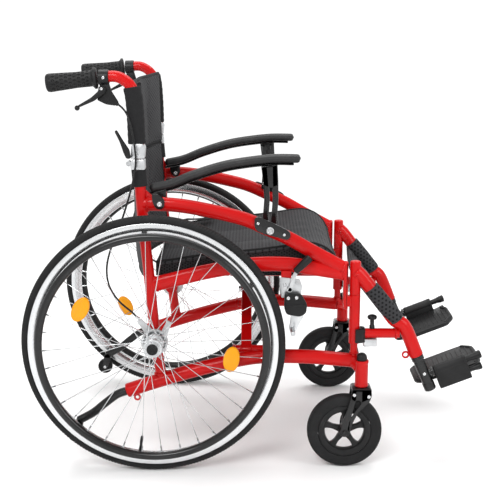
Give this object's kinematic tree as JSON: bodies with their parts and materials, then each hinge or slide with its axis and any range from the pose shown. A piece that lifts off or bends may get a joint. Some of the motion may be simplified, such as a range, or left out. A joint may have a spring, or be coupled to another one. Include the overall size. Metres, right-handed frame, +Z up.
{
  "type": "manual wheelchair",
  "caption": "Folding manual wheelchair: curved tubular side frames, spoked rear wheels with handrims, front casters, swing-away footrests, flip-up armrests, slung seat and folding back.",
  "frame": {"origin": "on the floor, under the middle of the outline", "axes": "+X forward, towards the footrests; +Y to the chair's left; +Z up"},
  "size_m": [1.0633, 0.662, 0.9218],
  "materials": {
    "red": "gloss red paint",
    "black": "matte black",
    "rubber": "matte",
    "tyre": "matte",
    "fabric": "woven mesh",
    "silver": "satin",
    "blackmetal": "satin black paint"
  },
  "bodies": {
    "frame_right": {"side_frame_right": "red", "brake_drum_right": "silver", "park_brake_right": "silver", "brake_cable_right": "black", "back_lower": "fabric"},
    "rear_wheel_right": {"rear_wheel_right": "silver", "rear_tyre_right": "tyre", "handrim_right": "blackmetal"},
    "caster_fork_right": {"caster_fork_right": "blackmetal"},
    "caster_wheel_right": {"caster_wheel_right": "black", "caster_tyre_right": "tyre"},
    "hanger_right": {"hanger_right": "red", "hanger_latch_right": "black", "calf_strap_right": "fabric"},
    "latch_knob_right": {"latch_knob_right": "black"},
    "leg_right": {"leg_tube_right": "blackmetal"},
    "footplate_right": {"footplate_right": "black"},
    "armrest_right": {"armrest_bar_right": "blackmetal", "armrest_pad_right": "rubber"},
    "handle_right": {"handle_tube_right": "red", "grip_right": "rubber", "back_latch_right": "silver", "back_upper": "fabric"},
    "brake_lever_right": {"brake_lever_right": "blackmetal"},
    "latch_lever_right": {"latch_lever_right": "black"},
    "anti_tipper_right": {"anti_tipper_right": "blackmetal"},
    "tipper_roller_right": {"tipper_roller_right": "rubber"},
    "park_lever_right": {"park_lever_right": "blackmetal"},
    "park_shoe_right": {"park_shoe_right": "silver"},
    "frame_left": {"side_frame_left": "red", "brake_drum_left": "silver", "park_brake_left": "silver", "brake_cable_left": "black"},
    "rear_wheel_left": {"rear_wheel_left": "silver", "rear_tyre_left": "tyre", "handrim_left": "blackmetal"},
    "caster_fork_left": {"caster_fork_left": "blackmetal"},
    "caster_wheel_left": {"caster_wheel_left": "black", "caster_tyre_left": "tyre"},
    "hanger_left": {"hanger_left": "red", "hanger_latch_left": "black", "calf_strap_left": "fabric"},
    "latch_knob_left": {"latch_knob_left": "black"},
    "leg_left": {"leg_tube_left": "blackmetal"},
    "footplate_left": {"footplate_left": "black"},
    "armrest_left": {"armrest_bar_left": "blackmetal", "armrest_pad_left": "rubber"},
    "handle_left": {"handle_tube_left": "red", "grip_left": "rubber", "back_latch_left": "silver"},
    "brake_lever_left": {"brake_lever_left": "blackmetal"},
    "latch_lever_left": {"latch_lever_left": "black"},
    "anti_tipper_left": {"anti_tipper_left": "blackmetal"},
    "tipper_roller_left": {"tipper_roller_left": "rubber"},
    "park_lever_left": {"park_lever_left": "blackmetal"},
    "park_shoe_left": {"park_shoe_left": "silver"},
    "brace_a": {"brace_a": "red"},
    "brace_b": {"brace_b": "red"},
    "seat": {"seat": "fabric"}
  },
  "joints": [
    {"name": "wheel_spin_right", "type": "hinge", "parent": "frame_right", "child": "rear_wheel_right", "pos_m": [-0.23165, -0.292, 0.3], "axis": [0, 1, 0], "continuous": true},
    {"name": "caster_swivel_right", "type": "hinge", "parent": "frame_right", "child": "caster_fork_right", "pos_m": [0.24485, -0.268, 0.19], "axis": [0, 0, 1], "continuous": true},
    {"name": "caster_spin_right", "type": "hinge", "parent": "caster_fork_right", "child": "caster_wheel_right", "pos_m": [0.20735, -0.268, 0.0872], "axis": [0, 1, 0], "continuous": true},
    {"name": "hanger_swing_right", "type": "hinge", "parent": "frame_right", "child": "hanger_right", "pos_m": [0.22785, -0.245, 0.4088], "axis": [0, 0, -1], "range_deg": [0, 90]},
    {"name": "latch_pull_right", "type": "slide", "parent": "hanger_right", "child": "latch_knob_right", "axis": [0, 0, 1], "range_m": [0, 0.008], "stiffness_N_per_m": 300},
    {"name": "leg_length_right", "type": "slide", "parent": "hanger_right", "child": "leg_right", "axis": [0.3987, 0, -0.9171], "range_m": [0, 0.05]},
    {"name": "footplate_flip_right", "type": "hinge", "parent": "leg_right", "child": "footplate_right", "pos_m": [0.41585, -0.245, 0.2237], "axis": [0.9304, 0, 0.3665], "range_deg": [0, 90]},
    {"name": "armrest_flip_right", "type": "hinge", "parent": "frame_right", "child": "armrest_right", "pos_m": [-0.21515, -0.23, 0.6196], "axis": [0, -1, 0], "range_deg": [0, 68]},
    {"name": "back_fold_right", "type": "hinge", "parent": "frame_right", "child": "handle_right", "pos_m": [-0.28165, -0.245, 0.712], "axis": [0, -1, 0], "range_deg": [0, 90], "deforming": ["brake_cable_right"]},
    {"name": "brake_squeeze_right", "type": "hinge", "parent": "handle_right", "child": "brake_lever_right", "pos_m": [-0.33735, -0.253, 0.875], "axis": [0, 1, 0], "range_deg": [0, 16], "stiffness_Nm_per_rad": 1.2},
    {"name": "latch_lever_right", "type": "hinge", "parent": "handle_right", "child": "latch_lever_right", "pos_m": [-0.27965, -0.264, 0.725], "axis": [0, -1, 0], "range_deg": [0, 25], "stiffness_Nm_per_rad": 0.5},
    {"name": "tipper_turn_right", "type": "hinge", "parent": "frame_right", "child": "anti_tipper_right", "pos_m": [-0.30165, -0.245, 0.1732], "axis": [0.9481, 0, 0.318], "range_deg": [0, 180]},
    {"name": "roller_spin_right", "type": "hinge", "parent": "anti_tipper_right", "child": "tipper_roller_right", "pos_m": [-0.42265, -0.245, 0.067], "axis": [0, 1, 0], "continuous": true},
    {"name": "park_lever_right", "type": "hinge", "parent": "frame_right", "child": "park_lever_right", "pos_m": [0.07735, -0.26, 0.424], "axis": [0, 1, 0], "range_deg": [0, 45]},
    {"name": "park_shoe_right", "type": "hinge", "parent": "frame_right", "child": "park_shoe_right", "pos_m": [0.09735, -0.266, 0.365], "axis": [0, 1, 0], "range_deg": [0, 20.1]},
    {"name": "wheel_spin_left", "type": "hinge", "parent": "frame_left", "child": "rear_wheel_left", "pos_m": [-0.23165, 0.292, 0.3], "axis": [0, 1, 0], "continuous": true},
    {"name": "caster_swivel_left", "type": "hinge", "parent": "frame_left", "child": "caster_fork_left", "pos_m": [0.24485, 0.268, 0.19], "axis": [0, 0, 1], "continuous": true},
    {"name": "caster_spin_left", "type": "hinge", "parent": "caster_fork_left", "child": "caster_wheel_left", "pos_m": [0.20735, 0.268, 0.0872], "axis": [0, 1, 0], "continuous": true},
    {"name": "hanger_swing_left", "type": "hinge", "parent": "frame_left", "child": "hanger_left", "pos_m": [0.22785, 0.245, 0.4088], "axis": [0, 0, 1], "range_deg": [0, 90]},
    {"name": "latch_pull_left", "type": "slide", "parent": "hanger_left", "child": "latch_knob_left", "axis": [0, 0, 1], "range_m": [0, 0.008], "stiffness_N_per_m": 300},
    {"name": "leg_length_left", "type": "slide", "parent": "hanger_left", "child": "leg_left", "axis": [0.3987, 0, -0.9171], "range_m": [0, 0.05]},
    {"name": "footplate_flip_left", "type": "hinge", "parent": "leg_left", "child": "footplate_left", "pos_m": [0.41585, 0.245, 0.2237], "axis": [-0.9304, 0, -0.3665], "range_deg": [0, 90]},
    {"name": "armrest_flip_left", "type": "hinge", "parent": "frame_left", "child": "armrest_left", "pos_m": [-0.21515, 0.23, 0.6196], "axis": [0, -1, 0], "range_deg": [0, 68]},
    {"name": "back_fold_left", "type": "hinge", "parent": "frame_left", "child": "handle_left", "pos_m": [-0.28165, 0.245, 0.712], "axis": [0, -1, 0], "range_deg": [0, 90], "deforming": ["brake_cable_left"]},
    {"name": "brake_squeeze_left", "type": "hinge", "parent": "handle_left", "child": "brake_lever_left", "pos_m": [-0.33735, 0.253, 0.875], "axis": [0, 1, 0], "range_deg": [0, 16], "stiffness_Nm_per_rad": 1.2},
    {"name": "latch_lever_left", "type": "hinge", "parent": "handle_left", "child": "latch_lever_left", "pos_m": [-0.27965, 0.264, 0.725], "axis": [0, -1, 0], "range_deg": [0, 25], "stiffness_Nm_per_rad": 0.5},
    {"name": "tipper_turn_left", "type": "hinge", "parent": "frame_left", "child": "anti_tipper_left", "pos_m": [-0.30165, 0.245, 0.1732], "axis": [-0.9481, 0, -0.318], "range_deg": [0, 180]},
    {"name": "roller_spin_left", "type": "hinge", "parent": "anti_tipper_left", "child": "tipper_roller_left", "pos_m": [-0.42265, 0.245, 0.067], "axis": [0, 1, 0], "continuous": true},
    {"name": "park_lever_left", "type": "hinge", "parent": "frame_left", "child": "park_lever_left", "pos_m": [0.07735, 0.26, 0.424], "axis": [0, 1, 0], "range_deg": [0, 45]},
    {"name": "park_shoe_left", "type": "hinge", "parent": "frame_left", "child": "park_shoe_left", "pos_m": [0.09735, 0.266, 0.365], "axis": [0, 1, 0], "range_deg": [0, 20.1]},
    {"name": "fold", "type": "hinge", "parent": "frame_right", "child": "brace_a", "pos_m": [-0.00865, -0.205, 0.262], "axis": [1, 0, 0], "range_deg": [0, 26], "deforming": ["seat", "back_lower", "back_upper", "calf_strap_right", "calf_strap_left"]},
    {"name": "cross_pivot", "type": "hinge", "parent": "brace_a", "child": "brace_b", "pos_m": [-0.00865, 0, 0.357], "axis": [1, 0, 0], "range_deg": [-52.1, 0]},
    {"name": "fold_left", "type": "hinge", "parent": "brace_b", "child": "frame_left", "pos_m": [-0.00865, 0.205, 0.262], "axis": [1, 0, 0], "range_deg": [0, 26.1]},
    {"name": "seat_lift", "type": "hinge", "parent": "brace_b", "child": "seat", "pos_m": [-0.00865, -0.205, 0.452], "axis": [1, 0, 0], "range_deg": [0, 26.1]}
  ],
  "couplings": [
    {"joint": "park_shoe_right", "follows": "park_lever_right", "ratio": 0.4444},
    {"joint": "park_shoe_left", "follows": "park_lever_left", "ratio": 0.4444},
    {"joint": "cross_pivot", "follows": "fold", "ratio": -2},
    {"joint": "fold_left", "follows": "fold", "ratio": 1},
    {"joint": "seat_lift", "follows": "fold", "ratio": 1},
    {"joint": "back_fold_left", "follows": "back_fold_right", "ratio": 1}
  ]
}
